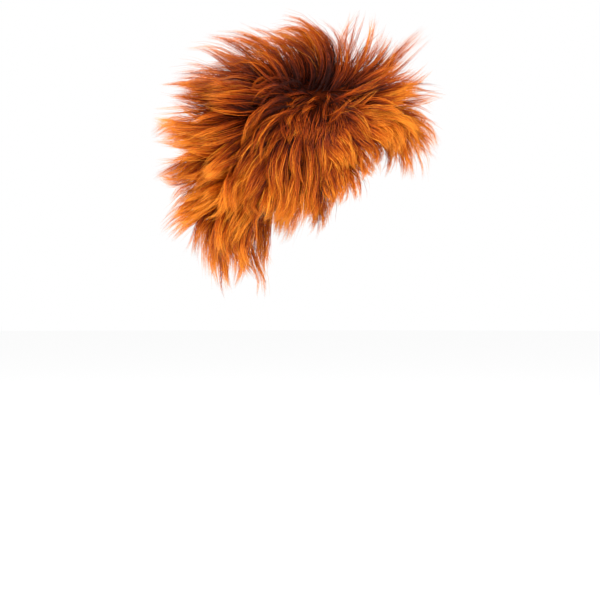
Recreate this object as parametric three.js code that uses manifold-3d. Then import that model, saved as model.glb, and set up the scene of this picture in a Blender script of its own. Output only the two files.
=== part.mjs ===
// A short, spiky faux hawk wig in the form that it has when it is worn: a fitted cap that a head goes
// into, and hair sewn over it in six sections. Each section is a dense body of hair over the cap,
// with tapering locks growing out of it.
// Millimetres. +X is the way that the wearer faces, +Y is the wearer's left and +Z is up. The origin
// is the point of the cap's inside that rests on the crown of the head.

import * as THREE from "three";
import { mergeVertices } from "three/addons/utils/BufferGeometryUtils.js";
import Module from "manifold-3d";

const wasm = await Module();
wasm.setup();

// The head that the cap fits.
const HEAD_LENGTH = 188;
const HEAD_BREADTH = 148;
const CROWN_HEIGHT = 76; // from the widest level of the head up to the crown
const LOWER_DEPTH = 142; // how far under that level the narrowing nape would close
const SKULL_FULLNESS = 2.4; // 2 is an ellipsoid, and more is squarer

// The cap.
const CAP_WALL = 1.6;
const CAP_DROP = 160; // from the crown down to the edge at the nape
const HEM_WIDTH = 7;
const HEM_EXTRA = 1; // how far the turned hem stands out of the wall
const HEM_STEP = 0.6; // the length of the slope from the wall up to the hem

// The hair.
const GAP = 0.4; // between two pieces that lie against each other
const BODY_DEPTH = 50; // the dense hair over the crown
const SIDE_SHARE = 0.27; // the depth at the side of the head, as a share of that on the centre line
const EDGE_DEPTH = 6; // the dense hair along its lower edge
const BODY_CLEARANCE = 1.5; // between the hem and the dense hair above it
const LOCK_LENGTH = 94;
const LOCK_WIDTH = 21;
const LOCK_THICKNESS = 14;
const CREST_HALF = 42; // half of the crest's width
const BACK_HALF = 62; // half of the width of the fringe and of the back

// Where the sections meet, in degrees from straight up as seen from the side, forward is positive.
const FRINGE_PITCH = 38;
const BACK_PITCH = -54;
const NAPE_PITCH = -113;

// The cap's lower edge from the brow (0) past the ear (90) to the nape (180), as shares of CAP_DROP.
const CAP_EDGE = [
  { azimuth: 0, drop: 0.22 },
  { azimuth: 40, drop: 0.29 },
  { azimuth: 62, drop: 0.56 },
  { azimuth: 78, drop: 0.67 },
  { azimuth: 98, drop: 0.59 },
  { azimuth: 124, drop: 0.82 },
  { azimuth: 150, drop: 0.97 },
  { azimuth: 180, drop: 1 },
];

// The dense hair on the centre line from the nape to the brow, as shares of BODY_DEPTH.
const BODY_PROFILE = [
  { pitch: -150, depth: 0.2 },
  { pitch: -125, depth: 0.55 },
  { pitch: -95, depth: 0.8 },
  { pitch: -45, depth: 0.9 },
  { pitch: 0, depth: 1 },
  { pitch: 35, depth: 0.92 },
  { pitch: 60, depth: 0.5 },
  { pitch: 100, depth: 0.2 },
];

// One row for each tuft on the centre line, front to back. A heading is an angle seen from the right
// side: 0 is forward, 90 up, 180 back and 270 down. Lengths are shares of LOCK_LENGTH.
const CREST_TUFTS = [
  { pitch: 34, from: 26, to: 16, length: 0.9 },
  { pitch: 28, from: 36, to: 38, length: 1 },
  { pitch: 22, from: 44, to: 52, length: 0.94 },
  { pitch: 15, from: 48, to: 62, length: 1.02 },
  { pitch: 9, from: 54, to: 84, length: 0.9 },
  { pitch: 3, from: 42, to: 214, length: 1.44 },
  { pitch: -4, from: 66, to: 205, length: 1.22 },
  { pitch: -12, from: 84, to: 195, length: 1.1 },
  { pitch: -20, from: 102, to: 192, length: 1.04 },
  { pitch: -29, from: 120, to: 182, length: 1.02 },
  { pitch: -38, from: 138, to: 176, length: 1 },
  { pitch: -47, from: 152, to: 180, length: 0.95 },
];
const FRINGE_TUFTS = [
  { pitch: 42, from: 22, to: -8, length: 0.92 },
  { pitch: 47, from: 16, to: -36, length: 0.88 },
  { pitch: 52, from: 6, to: -80, length: 0.92 },
  { pitch: 57, from: -10, to: -112, length: 0.84 },
];
const BACK_TUFTS = [
  { pitch: -58, from: 168, to: 186, length: 0.9 },
  { pitch: -67, from: 178, to: 194, length: 0.82 },
  { pitch: -76, from: 182, to: 204, length: 0.73 },
  { pitch: -85, from: 186, to: 209, length: 0.71 },
  { pitch: -94, from: 190, to: 215, length: 0.72 },
  { pitch: -102, from: 194, to: 226, length: 0.73 },
  { pitch: -109, from: 204, to: 244, length: 0.74 },
];
const NAPE_TUFTS = [
  { pitch: -117, from: 218, to: 264, length: 0.76 },
  { pitch: -123, from: 236, to: 278, length: 0.78 },
  { pitch: -129, from: 256, to: 290, length: 0.82 },
];

// The tufts of the centre line stand a little to the right and to the left of it in turn. The files on
// both sides of it repeat every second tuft of their section from the start one, side degrees round
// the head, leaning outwards and swung down.
const MIDDLE_FILE = { side: 5, rise: 6, fall: 5 };
const CREST_FILES = [
  { side: 15, start: 0, lean: 13, length: 0.95, swing: 0 },
  { side: 25, start: 1, lean: 24, length: 0.84, swing: 0 },
];
const FRINGE_FILES = [
  { side: 13, start: 1, lean: 10, length: 0.98, swing: 0 },
  { side: 27, start: 0, lean: 20, length: 0.96, swing: -4 },
  { side: 38, start: 1, lean: 26, length: 0.92, swing: -8 },
];
const BACK_FILES = [
  { side: 13, start: 1, lean: 15, length: 0.98, swing: 0 },
  { side: 26, start: 0, lean: 30, length: 0.95, swing: 4 },
  { side: 38, start: 1, lean: 45, length: 0.9, swing: 10 },
];
const NAPE_FILES = [
  { side: 14, start: 1, lean: 8, length: 1, swing: 4 },
  { side: 26, start: 0, lean: 12, length: 1, swing: 10 },
  { side: 38, start: 1, lean: 8, length: 1, swing: 10 },
  { side: 50, start: 0, lean: 0, length: 0.9, swing: 4 },
];

// The side hair, in courses from the crest down to the ear. Each course runs from front to back
// through its stations, and rise and fall are how far its locks lean out at the root and at the tip.
const SIDE_COURSES = [
  {
    side: 35,
    locks: 6,
    stations: [
      { pitch: 38, from: 340, to: 290, rise: 54, fall: 0, length: 1 },
      { pitch: 0, from: 250, to: 276, rise: 66, fall: -14, length: 1.3 },
      { pitch: -46, from: 195, to: 215, rise: 54, fall: 12, length: 1.2 },
    ],
  },
  {
    side: 50,
    locks: 7,
    stations: [
      { pitch: 52, from: 320, to: 275, rise: 34, fall: -6, length: 0.85 },
      { pitch: 5, from: 268, to: 282, rise: 44, fall: -14, length: 1.15 },
      { pitch: -52, from: 215, to: 222, rise: 40, fall: 10, length: 1.05 },
      { pitch: -100, from: 212, to: 232, rise: 42, fall: 6, length: 0.78 },
    ],
  },
  {
    side: 66,
    locks: 7,
    stations: [
      { pitch: 55, from: 298, to: 268, rise: 26, fall: -8, length: 0.72 },
      { pitch: 0, from: 264, to: 282, rise: 32, fall: -12, length: 1 },
      { pitch: -60, from: 228, to: 240, rise: 34, fall: 6, length: 0.92 },
      { pitch: -106, from: 226, to: 258, rise: 36, fall: 0, length: 0.76 },
    ],
  },
  {
    side: 77,
    locks: 4,
    stations: [
      { pitch: 40, from: 275, to: 285, rise: 20, fall: -6, length: 0.66 },
      { pitch: -30, from: 258, to: 278, rise: 24, fall: -8, length: 0.95 },
      { pitch: -80, from: 242, to: 268, rise: 28, fall: -4, length: 0.86 },
    ],
  },
];

// How far one lock may differ from its row, so that neighbours don't repeat.
const SCATTER = { pitch: 2, side: 2, heading: 7, lean: 6, length: 0.08 };

// How finely the shapes are divided.
const AZIMUTH_STEPS = 32;
const CAP_RINGS = 6;
const BODY_RINGS = 6;
const LOCK_SIDES = 4;
const PATH_STEPS = 24;

const FAR = 3 * HEAD_LENGTH; // beyond the hair in any direction
const BEND = 1.2; // a lock turns a little more towards its tip
const FACING = 0.5; // how far the flat side of a lock turns from the head's surface to the side
const ROOT_LIMIT = 0.9; // the lowest root, as a share of the way down to the cap's edge

const materials = {
  cap: new THREE.MeshStandardMaterial({ color: 0x3a1c10, roughness: 0.85, metalness: 0 }),
  hair: new THREE.MeshStandardMaterial({ color: 0xc4560f, roughness: 0.5, metalness: 0 }),
};

const { degToRad: radians, radToDeg: degrees, lerp, smoothstep } = THREE.MathUtils;

// A repeatable number from -1 to 1 for one lock and one of its properties.
function vary(serial, property) {
  const wave = Math.sin(serial * 12.9898 + property * 78.233) * 43758.5453;
  return 2 * (wave - Math.floor(wave)) - 1;
}

// A column of a table whose rows are sorted by another column, read smoothly between two rows.
function read(rows, sorted, at, column) {
  const found = rows.findIndex((row) => row[sorted] >= at);
  const next = found < 0 ? rows.length - 1 : Math.max(found, 1);
  const [a, b] = [rows[next - 1], rows[next]];
  return lerp(a[column], b[column], smoothstep(at, a[sorted], b[sorted]));
}

// The direction at an angle from straight up and at an azimuth from the front, both in radians.
function directionAt(angle, azimuth) {
  const out = Math.sin(angle);
  return new THREE.Vector3(out * Math.cos(azimuth), out * Math.sin(azimuth), Math.cos(angle));
}

// The direction of a lock's root: forward of straight up, then sideways, and never past the hair's edge.
function rootDirection(pitch, side) {
  const [p, s] = [radians(pitch), radians(side)];
  const azimuth = Math.atan2(Math.sin(s), Math.sin(p) * Math.cos(s));
  const angle = Math.acos(Math.cos(p) * Math.cos(s));
  return directionAt(Math.min(angle, ROOT_LIMIT * edgeAngle(degrees(azimuth))), azimuth);
}

// The point of the head's surface in a direction, moved out by lift, and the surface's normal there.
function scalp(direction, lift) {
  const halves = [HEAD_LENGTH / 2, HEAD_BREADTH / 2, direction.z > 0 ? CROWN_HEIGHT : LOWER_DEPTH];
  const along = direction.toArray();
  const sum = along.reduce((total, d, i) => total + Math.abs(d / halves[i]) ** SKULL_FULLNESS, 0);
  const point = direction.clone().multiplyScalar(sum ** (-1 / SKULL_FULLNESS));
  const slope = point
    .toArray()
    .map((p, i) => (Math.sign(p) * Math.abs(p / halves[i]) ** (SKULL_FULLNESS - 1)) / halves[i]);
  const normal = new THREE.Vector3(...slope).normalize();
  point.addScaledVector(normal, lift);
  point.z -= CROWN_HEIGHT;
  return { point, normal };
}

// The angle from straight up, seen from the middle of the head, at which the cap ends.
function edgeAngle(azimuth) {
  const turned = azimuth > 180 ? 360 - azimuth : Math.abs(azimuth);
  const height = CROWN_HEIGHT - CAP_DROP * read(CAP_EDGE, "azimuth", turned, "drop");
  const half = height > 0 ? CROWN_HEIGHT : LOWER_DEPTH;
  const [along, across] = [Math.cos(radians(azimuth)), Math.sin(radians(azimuth))];
  const reach =
    (Math.abs(along / (HEAD_LENGTH / 2)) ** SKULL_FULLNESS +
      Math.abs(across / (HEAD_BREADTH / 2)) ** SKULL_FULLNESS) **
    (-1 / SKULL_FULLNESS);
  const out = reach * (1 - Math.abs(height / half) ** SKULL_FULLNESS) ** (1 / SKULL_FULLNESS);
  return Math.atan2(out, height);
}

// A length on the head's surface as a share of the way from the crown to the cap's edge.
function edgeShare(length, azimuth) {
  return length / (edgeAngle(azimuth) * (HEAD_LENGTH / 2));
}

// A closed shell over the head. Each station says how far down the cap's side it lies at an azimuth,
// as a share, and how far out of the head. Stations go down the inside and back up the outside.
function shell(stations) {
  const last = stations.length - 1;
  const profile = stations.map((_, i) => new THREE.Vector2(i === 0 || i === last ? 0 : 1, i));
  const geometry = new THREE.LatheGeometry(profile, AZIMUTH_STEPS);
  const places = geometry.attributes.position;
  for (let i = 0; i < places.count; i++) {
    const azimuth = (360 * Math.floor(i / stations.length)) / AZIMUTH_STEPS;
    const station = stations[i % stations.length];
    const angle = edgeAngle(azimuth) * station.down(azimuth);
    const direction = directionAt(angle, radians(azimuth));
    const { x, y, z } = scalp(direction, station.lift(direction)).point;
    places.setXYZ(i, x, y, z);
  }
  return solid(geometry);
}

// A closed three.js geometry as a solid that can be joined and cut.
function solid(geometry) {
  geometry.deleteAttribute("normal");
  geometry.deleteAttribute("uv");
  const merged = mergeVertices(geometry, 1e-4);
  const triangles = [];
  for (let i = 0; i < merged.index.count; i += 3) {
    const [a, b, c] = [0, 1, 2].map((k) => merged.index.getX(i + k));
    if (a !== b && b !== c && c !== a) triangles.push(a, b, c);
  }
  const mesh = {
    numProp: 3,
    vertProperties: merged.attributes.position.array,
    triVerts: new Uint32Array(triangles),
  };
  return new wasm.Manifold(new wasm.Mesh(mesh));
}

// The cap: an even wall over the whole head, with a turned hem along its edge.
function cap() {
  const hem = (azimuth) => 1 - edgeShare(HEM_WIDTH, azimuth);
  const slope = (azimuth) => hem(azimuth) + edgeShare(HEM_STEP, azimuth);
  const inside = () => 0;
  const outside = () => CAP_WALL;
  const raised = () => CAP_WALL + HEM_EXTRA;
  const rings = Array.from({ length: CAP_RINGS }, (_, i) => i / CAP_RINGS);
  const wallRing = (lift) => (share) => ({ down: (azimuth) => share * hem(azimuth), lift });
  return shell([
    ...rings.map(wallRing(inside)),
    { down: hem, lift: inside },
    { down: () => 1, lift: inside },
    { down: () => 1, lift: raised },
    { down: slope, lift: raised },
    { down: hem, lift: outside },
    ...rings.reverse().map(wallRing(outside)),
  ]);
}

// The dense hair over the whole cap, in one piece and larger all round by spare.
function hairBody(spare) {
  const end = (azimuth) => 1 - edgeShare(HEM_WIDTH + BODY_CLEARANCE - spare, azimuth);
  const rings = Array.from({ length: BODY_RINGS + 1 }, (_, i) => i / BODY_RINGS);
  const inner = () => CAP_WALL + GAP - spare;
  const outer = (share) => (direction) => {
    const pitch = degrees(Math.atan2(direction.x, direction.z));
    const side = degrees(Math.asin(Math.abs(direction.y)));
    const middle = BODY_DEPTH * read(BODY_PROFILE, "pitch", pitch, "depth");
    const depth = middle * lerp(1, SIDE_SHARE, smoothstep(side, 5, 38));
    return CAP_WALL + lerp(depth, EDGE_DEPTH, smoothstep(share, 0.7, 1)) + spare;
  };
  return shell([
    ...rings.map((share) => ({ down: (azimuth) => share * end(azimuth), lift: inner })),
    ...rings.reverse().map((share) => ({ down: (azimuth) => share * end(azimuth), lift: outer(share) })),
  ]);
}

// A wedge seen from the side, from one pitch to another, that reaches half either way.
function wedge(fromPitch, toPitch, half, spare) {
  const margin = degrees(spare / CROWN_HEIGHT);
  const corner = (share) => {
    const turn = radians(lerp(toPitch + margin, fromPitch - margin, share));
    return new THREE.Vector2(FAR * Math.sin(turn), FAR * Math.cos(turn));
  };
  const outline = new THREE.Shape([new THREE.Vector2(0, 0), ...[0, 0.25, 0.5, 0.75, 1].map(corner)]);
  const depth = 2 * (half + spare);
  const geometry = new THREE.ExtrudeGeometry(outline, { depth, bevelEnabled: false });
  geometry.translate(0, 0, -depth / 2);
  geometry.rotateX(Math.PI / 2);
  geometry.translate(0, 0, -CROWN_HEIGHT);
  return solid(geometry);
}

// The half of space on one side of the head, as far as the hair reaches.
function flank(hand) {
  const geometry = new THREE.BoxGeometry(FAR, FAR, FAR);
  geometry.translate(0, hand * (FAR / 2 + GAP / 2), 0);
  return solid(geometry);
}

// One lock's numbers, a little different from those of its row.
function lockOf(serial, hand, row) {
  return {
    pitch: row.pitch + SCATTER.pitch * vary(serial, 1),
    side: hand * (row.side + SCATTER.side * vary(serial, 2)),
    from: row.from + SCATTER.heading * vary(serial, 3),
    to: row.to + SCATTER.heading * vary(serial, 4),
    rise: hand * (row.rise + SCATTER.lean * vary(serial, 5)),
    fall: hand * (row.fall + SCATTER.lean * vary(serial, 6)),
    length: LOCK_LENGTH * row.length * (1 + SCATTER.length * vary(serial, 7)),
  };
}

// The locks of a section that has a centre line: its tufts there, and again in each file.
function filedLocks(tufts, files) {
  const middle = tufts.map((tuft, t) => lockOf(t, t % 2 ? 1 : -1, { ...tuft, ...MIDDLE_FILE }));
  const beside = files.flatMap((file, f) =>
    tufts
      .filter((_, t) => t % 2 === file.start)
      .flatMap((tuft, t) =>
        [1, -1].map((hand) =>
          lockOf(100 * (f + 1) + 20 * hand + t, hand, {
            pitch: tuft.pitch,
            side: file.side,
            from: tuft.from + file.swing,
            to: tuft.to + file.swing,
            rise: file.lean,
            fall: file.lean,
            length: tuft.length * file.length,
          }),
        ),
      ),
  );
  return [...middle, ...beside];
}

// The locks of one side of the head, course by course.
function sideLocks(hand) {
  return SIDE_COURSES.flatMap(({ side, locks, stations }, c) =>
    Array.from({ length: locks }, (_, i) => {
      const place = (i / (locks - 1)) * (stations.length - 1);
      const before = Math.min(Math.floor(place), stations.length - 2);
      const [a, b] = [stations[before], stations[before + 1]];
      const between = Object.fromEntries(
        Object.keys(a).map((key) => [key, lerp(a[key], b[key], place - before)]),
      );
      return lockOf(1000 + 100 * c + 20 * hand + i, hand, { ...between, side });
    }),
  );
}

// The line that a lock follows: points, the way it goes, and the way that its flat side faces.
function lockPath(lock) {
  const { point, normal } = scalp(
    rootDirection(lock.pitch, lock.side),
    CAP_WALL + GAP + LOCK_THICKNESS / 2,
  );
  const face = normal.clone();
  face.y += FACING * Math.sign(lock.side);
  const path = [];
  for (let i = 0; i <= PATH_STEPS; i++) {
    const share = i / PATH_STEPS;
    const heading = radians(lerp(lock.from, lock.to, share ** BEND));
    const lean = radians(lerp(lock.rise, lock.fall, share));
    const along = new THREE.Vector3(
      Math.cos(heading) * Math.cos(lean),
      Math.sin(lean),
      Math.sin(heading) * Math.cos(lean),
    );
    face.addScaledVector(along, -face.dot(along)).normalize();
    path.push({ point: point.clone(), along, face: face.clone() });
    point.addScaledVector(along, lock.length / PATH_STEPS);
  }
  return path;
}

// How wide a lock is at a share of its length: fullest at a third, and pointed at the tip.
function fullness(share) {
  const fullest = 0.35;
  return share < fullest
    ? lerp(0.75, 1, share / fullest)
    : 1 - ((share - fullest) / (1 - fullest)) ** 1.6;
}

// A lock's solid, larger all round by spare: a pointed cone that is bent along the lock's line.
function lockSolid(lock, spare) {
  const path = lockPath(lock);
  const steps = Math.abs(lock.to - lock.from) > 70 ? 6 : 3;
  const geometry = new THREE.ConeGeometry(1, 1, LOCK_SIDES, steps);
  const places = geometry.attributes.position;
  for (let i = 0; i < places.count; i++) {
    const share = places.getY(i) + 0.5;
    const { point, along, face } = path[Math.round(share * PATH_STEPS)];
    const across = new THREE.Vector3().crossVectors(along, face);
    const untaper = share > 0.99 ? 0 : 1 / (1 - share);
    const width = untaper * ((fullness(share) * LOCK_WIDTH) / 2 + spare);
    const thickness = untaper * ((fullness(share) * LOCK_THICKNESS) / 2 + spare);
    const place = point
      .clone()
      .addScaledVector(across, width * places.getX(i))
      .addScaledVector(face, thickness * places.getZ(i))
      .addScaledVector(along, share > 0.5 ? spare : -spare);
    places.setXYZ(i, ...place);
  }
  return solid(geometry);
}

// The hair sections. Each is cut clear of the cap and of the sections before it.
const SECTIONS = [
  {
    name: "crest",
    field: (spare) => wedge(BACK_PITCH, FRINGE_PITCH, CREST_HALF, spare),
    locks: filedLocks(CREST_TUFTS, CREST_FILES),
  },
  {
    name: "fringe",
    field: (spare) => wedge(FRINGE_PITCH, 120, BACK_HALF, spare),
    locks: filedLocks(FRINGE_TUFTS, FRINGE_FILES),
  },
  {
    name: "back_hair",
    field: (spare) => wedge(NAPE_PITCH, BACK_PITCH, BACK_HALF, spare),
    locks: filedLocks(BACK_TUFTS, BACK_FILES),
  },
  {
    name: "nape_hair",
    field: (spare) => wedge(-180, NAPE_PITCH, HEAD_BREADTH, spare),
    locks: filedLocks(NAPE_TUFTS, NAPE_FILES),
  },
  { name: "right_side_hair", field: () => flank(-1), locks: sideLocks(-1) },
  { name: "left_side_hair", field: () => flank(1), locks: sideLocks(1) },
];

function meshOf(name, made, material) {
  const { vertProperties, triVerts } = made.getMesh();
  const geometry = new THREE.BufferGeometry();
  geometry.setAttribute("position", new THREE.BufferAttribute(vertProperties, 3));
  geometry.setIndex(new THREE.BufferAttribute(triVerts, 1));
  geometry.computeVertexNormals();
  const mesh = new THREE.Mesh(geometry, material);
  mesh.name = name;
  return mesh;
}

// A section's solid, larger all round by spare: its part of the dense hair, and its locks.
function sectionSolid(section, spare) {
  const body = hairBody(spare).intersect(section.field(spare));
  return wasm.Manifold.union([body, ...section.locks.map((lock) => lockSolid(lock, spare))]);
}

const wig = new THREE.Group();
wig.name = "faux_hawk_wig";
wig.add(meshOf("cap", cap(), materials.cap));

let taken = cap();
for (const section of SECTIONS) {
  const pieces = sectionSolid(section, 0).subtract(taken).decompose();
  const [whole] = pieces.sort((a, b) => b.volume() - a.volume());
  wig.add(meshOf(section.name, whole, materials.hair));
  taken = taken.add(sectionSolid(section, GAP));
}

export default wig;
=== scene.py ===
import logging
import math
from collections.abc import Callable
from dataclasses import dataclass
from enum import Enum

import bmesh
import bpy
import numpy as np
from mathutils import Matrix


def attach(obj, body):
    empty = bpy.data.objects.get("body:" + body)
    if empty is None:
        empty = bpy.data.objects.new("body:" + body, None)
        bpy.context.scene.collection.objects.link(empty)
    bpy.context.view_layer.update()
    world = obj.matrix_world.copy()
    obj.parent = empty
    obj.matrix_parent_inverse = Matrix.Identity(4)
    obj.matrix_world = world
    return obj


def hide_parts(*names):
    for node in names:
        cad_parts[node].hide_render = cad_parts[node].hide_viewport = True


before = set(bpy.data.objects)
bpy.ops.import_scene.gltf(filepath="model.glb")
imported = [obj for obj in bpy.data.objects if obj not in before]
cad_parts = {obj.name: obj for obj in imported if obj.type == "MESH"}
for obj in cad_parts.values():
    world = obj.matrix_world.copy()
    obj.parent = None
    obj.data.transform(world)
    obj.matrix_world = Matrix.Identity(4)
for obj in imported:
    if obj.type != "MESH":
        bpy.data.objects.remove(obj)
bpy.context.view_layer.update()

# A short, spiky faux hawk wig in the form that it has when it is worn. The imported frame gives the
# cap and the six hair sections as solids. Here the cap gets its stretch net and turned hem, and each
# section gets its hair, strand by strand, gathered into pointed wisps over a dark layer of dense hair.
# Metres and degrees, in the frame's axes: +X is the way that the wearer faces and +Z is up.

BODY = "root"
SEED = 20
STEPS = 16  # how finely a wisp's line is worked out
BEND = 1.2  # a wisp turns a little more towards its tip
GOLDEN_ANGLE = 137.50776  # degrees between neighbours in a spiral that spreads points evenly

log = logging.getLogger("wig")
Array = np.ndarray
Colour = tuple[float, float, float, float]
Place = tuple[float, float, float]
Span = tuple[float, float]


# numbers


def smoothstep(x: Array, low: float, high: float) -> Array:
    """A smooth rise from 0 to 1 as x goes from low to high.

    Args:
        x: the values.
        low: where the rise starts.
        high: where the rise ends.

    Returns:
        The rise at each value.
    """
    share = np.clip((x - low) / (high - low), 0, 1)
    return share * share * (3 - 2 * share)


def read(at: Array, places: list[float], values: list[float]) -> Array:
    """A table's values, read smoothly between its rows.

    Args:
        at: where to read.
        places: the rows' places, in rising order.
        values: the rows' values.

    Returns:
        The value at each place.
    """
    row = np.clip(np.searchsorted(places, at) - 1, 0, len(places) - 2)
    places, values = np.array(places, float), np.array(values, float)
    share = np.clip((at - places[row]) / (places[row + 1] - places[row]), 0, 1)
    share = share * share * (3 - 2 * share)
    return values[row] + (values[row + 1] - values[row]) * share


def unit(vectors: Array) -> Array:
    """The vectors at length one."""
    return vectors / np.maximum(np.linalg.norm(vectors, axis=-1, keepdims=True), 1e-9)


def srgb(code: str) -> Colour:
    """A colour as the shader takes it.

    Args:
        code: six hexadecimal digits, as a screen shows the colour.

    Returns:
        Linear red, green, blue and alpha.
    """
    parts = [int(code[i : i + 2], 16) / 255 for i in (0, 2, 4)]
    linear = [p / 12.92 if p <= 0.04045 else ((p + 0.055) / 1.055) ** 2.4 for p in parts]
    return (*linear, 1.0)


# the head and the cap's outline


@dataclass(frozen=True)
class Head:
    """The head that the cap fits, with its crown at the origin."""

    length: float = 0.188
    breadth: float = 0.148
    crown: float = 0.076
    lower: float = 0.142
    fullness: float = 2.4

    def surface(self, direction: Array) -> Array:
        """How far the head reaches from the middle of its widest level.

        Args:
            direction: unit vectors, one per row.

        Returns:
            The reach along each, in a column.
        """
        shares = np.abs(direction / self._halves(direction)) ** self.fullness
        return np.sum(shares, -1, keepdims=True) ** (-1 / self.fullness)

    def _halves(self, direction: Array) -> Array:
        """The head's half sizes.

        Args:
            direction: unit vectors, one per row.

        Returns:
            The half length, half breadth and half height on the side that each points to.
        """
        halves = np.empty_like(direction)
        halves[..., 0], halves[..., 1] = self.length / 2, self.breadth / 2
        halves[..., 2] = np.where(direction[..., 2] > 0, self.crown, self.lower)
        return halves

    def scalp(self, direction: Array, lift: Array | float) -> tuple[Array, Array]:
        """Points over the head's surface.

        Args:
            direction: unit vectors from the middle of the widest level, one per row.
            lift: how far out of the surface each point lies, in a column.

        Returns:
            The points, and the surface's normals there.
        """
        point = direction * self.surface(direction)
        halves = self._halves(direction)
        slope = np.sign(point) * np.abs(point / halves) ** (self.fullness - 1) / halves
        normal = unit(slope)
        return point + normal * lift - self.centre, normal

    @property
    def centre(self) -> Array:
        """From the middle of the widest level to the origin."""
        return np.array([0.0, 0.0, self.crown])

    def clear(self, points: Array, room: Array | float) -> Array:
        """Moves points that lie too deep out of the head.

        Args:
            points: the points.
            room: the least height over the head's surface.

        Returns:
            The points, each at least that high.
        """
        from_middle = points + self.centre
        reach = np.linalg.norm(from_middle, axis=-1, keepdims=True)
        direction = from_middle / np.maximum(reach, 1e-9)
        return direction * np.maximum(reach, self.surface(direction) + room) - self.centre


@dataclass(frozen=True)
class CapOutline:
    """The cap's lower edge, from the brow past the ear to the nape."""

    head: Head = Head()
    wall: float = 0.0016
    drop: float = 0.160
    azimuths: tuple[float, ...] = (0, 40, 62, 78, 98, 124, 150, 180)
    drops: tuple[float, ...] = (0.22, 0.29, 0.56, 0.67, 0.59, 0.82, 0.97, 1.0)

    def edge_angle(self, azimuth: Array) -> Array:
        """The angle from straight up, seen from the head's middle, at which the cap ends.

        Args:
            azimuth: degrees from the front.

        Returns:
            The angles, in radians.
        """
        head = self.head
        turned = np.abs((azimuth + 180) % 360 - 180)
        height = head.crown - self.drop * read(turned, self.azimuths, self.drops)
        half = np.where(height > 0, head.crown, head.lower)
        turn, n = np.radians(azimuth), head.fullness
        along, across = np.cos(turn) / (head.length / 2), np.sin(turn) / (head.breadth / 2)
        reach = (np.abs(along) ** n + np.abs(across) ** n) ** (-1 / n)
        return np.arctan2(reach * (1 - np.abs(height / half) ** n) ** (1 / n), height)


def direction_at(angle: Array, azimuth: Array) -> Array:
    """Directions from the head's middle.

    Args:
        angle: radians from straight up.
        azimuth: degrees from the front.

    Returns:
        Unit vectors, one per row.
    """
    turn = np.radians(azimuth)
    return np.stack([np.sin(angle) * np.cos(turn), np.sin(angle) * np.sin(turn), np.cos(angle)], -1)


def pitch_and_side(direction: Array) -> tuple[Array, Array]:
    """Degrees forward of straight up, and degrees round the head, positive on the left."""
    pitch = np.degrees(np.arctan2(direction[:, 0], direction[:, 2]))
    return pitch, np.degrees(np.arcsin(np.clip(direction[:, 1], -1, 1)))


def spread_over(
    outline: CapOutline, count: int, until: float, jitter: float, rng: np.random.Generator
) -> Array:
    """Spreads directions evenly over the part of the head that the cap covers.

    Args:
        outline: the cap's lower edge.
        count: how many a whole ball would have.
        until: where they end, as a share of the way down to the edge.
        jitter: degrees that each is turned by at most.
        rng: the source of the small differences.

    Returns:
        Unit vectors from the head's middle.
    """
    index = np.arange(count) + 0.5
    angle = np.arccos(1 - 2 * index / count)
    azimuth = (index * GOLDEN_ANGLE + rng.uniform(-jitter, jitter, count)) % 360
    allowed = angle < until * outline.edge_angle(azimuth)
    return direction_at(angle[allowed], azimuth[allowed])


# shaders


class Value:
    """A node's output that can be used in Python expressions."""

    def __init__(self, shader: "Shader", socket: bpy.types.NodeSocket) -> None:
        """Wraps a socket of a shader's node."""
        self.shader = shader
        self.socket = socket

    def __add__(self, other: "Value | float") -> "Value":
        """self + other."""
        return self.shader.math("ADD", self, other)

    def __radd__(self, other: float) -> "Value":
        """other + self."""
        return self.shader.math("ADD", other, self)

    def __sub__(self, other: "Value | float") -> "Value":
        """self - other."""
        return self.shader.math("SUBTRACT", self, other)

    def __rsub__(self, other: float) -> "Value":
        """other - self."""
        return self.shader.math("SUBTRACT", other, self)

    def __mul__(self, other: "Value | float") -> "Value":
        """self * other."""
        return self.shader.math("MULTIPLY", self, other)

    def __rmul__(self, other: float) -> "Value":
        """other * self."""
        return self.shader.math("MULTIPLY", other, self)

    def __pow__(self, other: "Value | float") -> "Value":
        """self ** other."""
        return self.shader.math("POWER", self, other)

    def sine(self) -> "Value":
        """The sine of the value."""
        return self.shader.math("SINE", self)


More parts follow.
